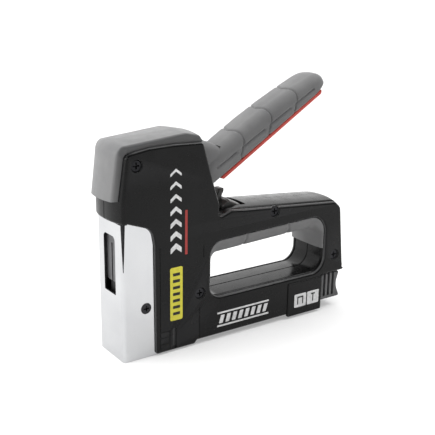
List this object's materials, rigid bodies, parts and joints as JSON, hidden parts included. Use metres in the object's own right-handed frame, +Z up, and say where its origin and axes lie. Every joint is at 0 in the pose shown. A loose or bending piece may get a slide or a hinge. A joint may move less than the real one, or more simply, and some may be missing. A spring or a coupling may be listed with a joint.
{
  "type": "staple gun",
  "caption": "Hand-squeezed staple gun: two-half black body with a hand loop, wrap-round bright nose, sprung squeeze lever, lifted hammer and a rear-loading staple magazine.",
  "frame": {"origin": "centre of the object's footprint at the level of the nose's underside, the face that is pressed on the work", "axes": "+X from the nose to the rear of the handle, +Y to the tool's right side, +Z up along the nose"},
  "size_m": [0.1892, 0.0376, 0.1706],
  "materials": {
    "casing": "fine textured glass-filled nylon",
    "soft_grey": "matt soft overmould",
    "grey_plastic": "satin moulded",
    "red_insert": "satin",
    "chrome": "bright nickel-chrome sheet",
    "steel": "ground steel",
    "spring_steel": "oiled spring wire",
    "black_steel": "black oxide",
    "staple_wire": "bright wire",
    "damper": "matt"
  },
  "bodies": {
    "frame": {"left_housing": "casing", "right_housing": "casing", "housing_screw_1": "black_steel", "housing_screw_2": "black_steel", "housing_screw_3": "black_steel", "housing_screw_4": "black_steel", "head_bumper": "soft_grey", "loop_grip": "soft_grey", "nose_plate": "chrome", "nose_core": "casing", "guide_plate": "steel", "nose_screw_left": "black_steel", "nose_screw_right": "black_steel", "main_spring": "spring_steel", "spring_seat": "steel", "impact_bumper": "damper", "lever_pin": "steel", "lever_return_spring": "spring_steel", "latch_pin": "steel", "magazine_channel": "steel"},
    "lever": {"lever_arm": "black_steel", "lever_body": "soft_grey", "lever_grip": "soft_grey", "lever_insert": "red_insert", "lever_cross_pin": "steel"},
    "hammer": {"hammer": "steel", "driver_blade": "steel", "blade_pin": "steel"},
    "magazine": {"staple_rail": "steel", "staple_strip": "staple_wire", "pusher_rod": "steel", "pusher_spring": "spring_steel", "magazine_pull": "grey_plastic", "magazine_catch": "spring_steel"},
    "pusher": {"pusher": "black_steel"},
    "latch": {"lock_latch": "casing"}
  },
  "joints": [
    {"name": "lever_hinge", "type": "hinge", "parent": "frame", "child": "lever", "pos_m": [-0.0264, 0, 0.107], "axis": [0, 1, 0], "range_deg": [0, 36], "stiffness_Nm_per_rad": 6, "springref_deg": -17.19},
    {"name": "hammer_slide", "type": "slide", "parent": "frame", "child": "hammer", "axis": [0, 0, 1], "range_m": [0, 0.0227], "deforming": ["main_spring"]},
    {"name": "magazine_slide", "type": "slide", "parent": "frame", "child": "magazine", "axis": [1, 0, 0], "range_m": [0, 0.11]},
    {"name": "pusher_slide", "type": "slide", "parent": "magazine", "child": "pusher", "axis": [1, 0, 0], "range_m": [0, 0.068], "stiffness_N_per_m": 40, "springref_m": -0.05, "deforming": ["pusher_spring"]},
    {"name": "latch_hinge", "type": "hinge", "parent": "frame", "child": "latch", "pos_m": [-0.0089, 0, 0.0825], "axis": [0, -1, 0], "range_deg": [0, 12]}
  ],
  "couplings": [
    {"joint": "hammer_slide", "follows": "lever_hinge", "m_per_rad": 0.035903}
  ]
}
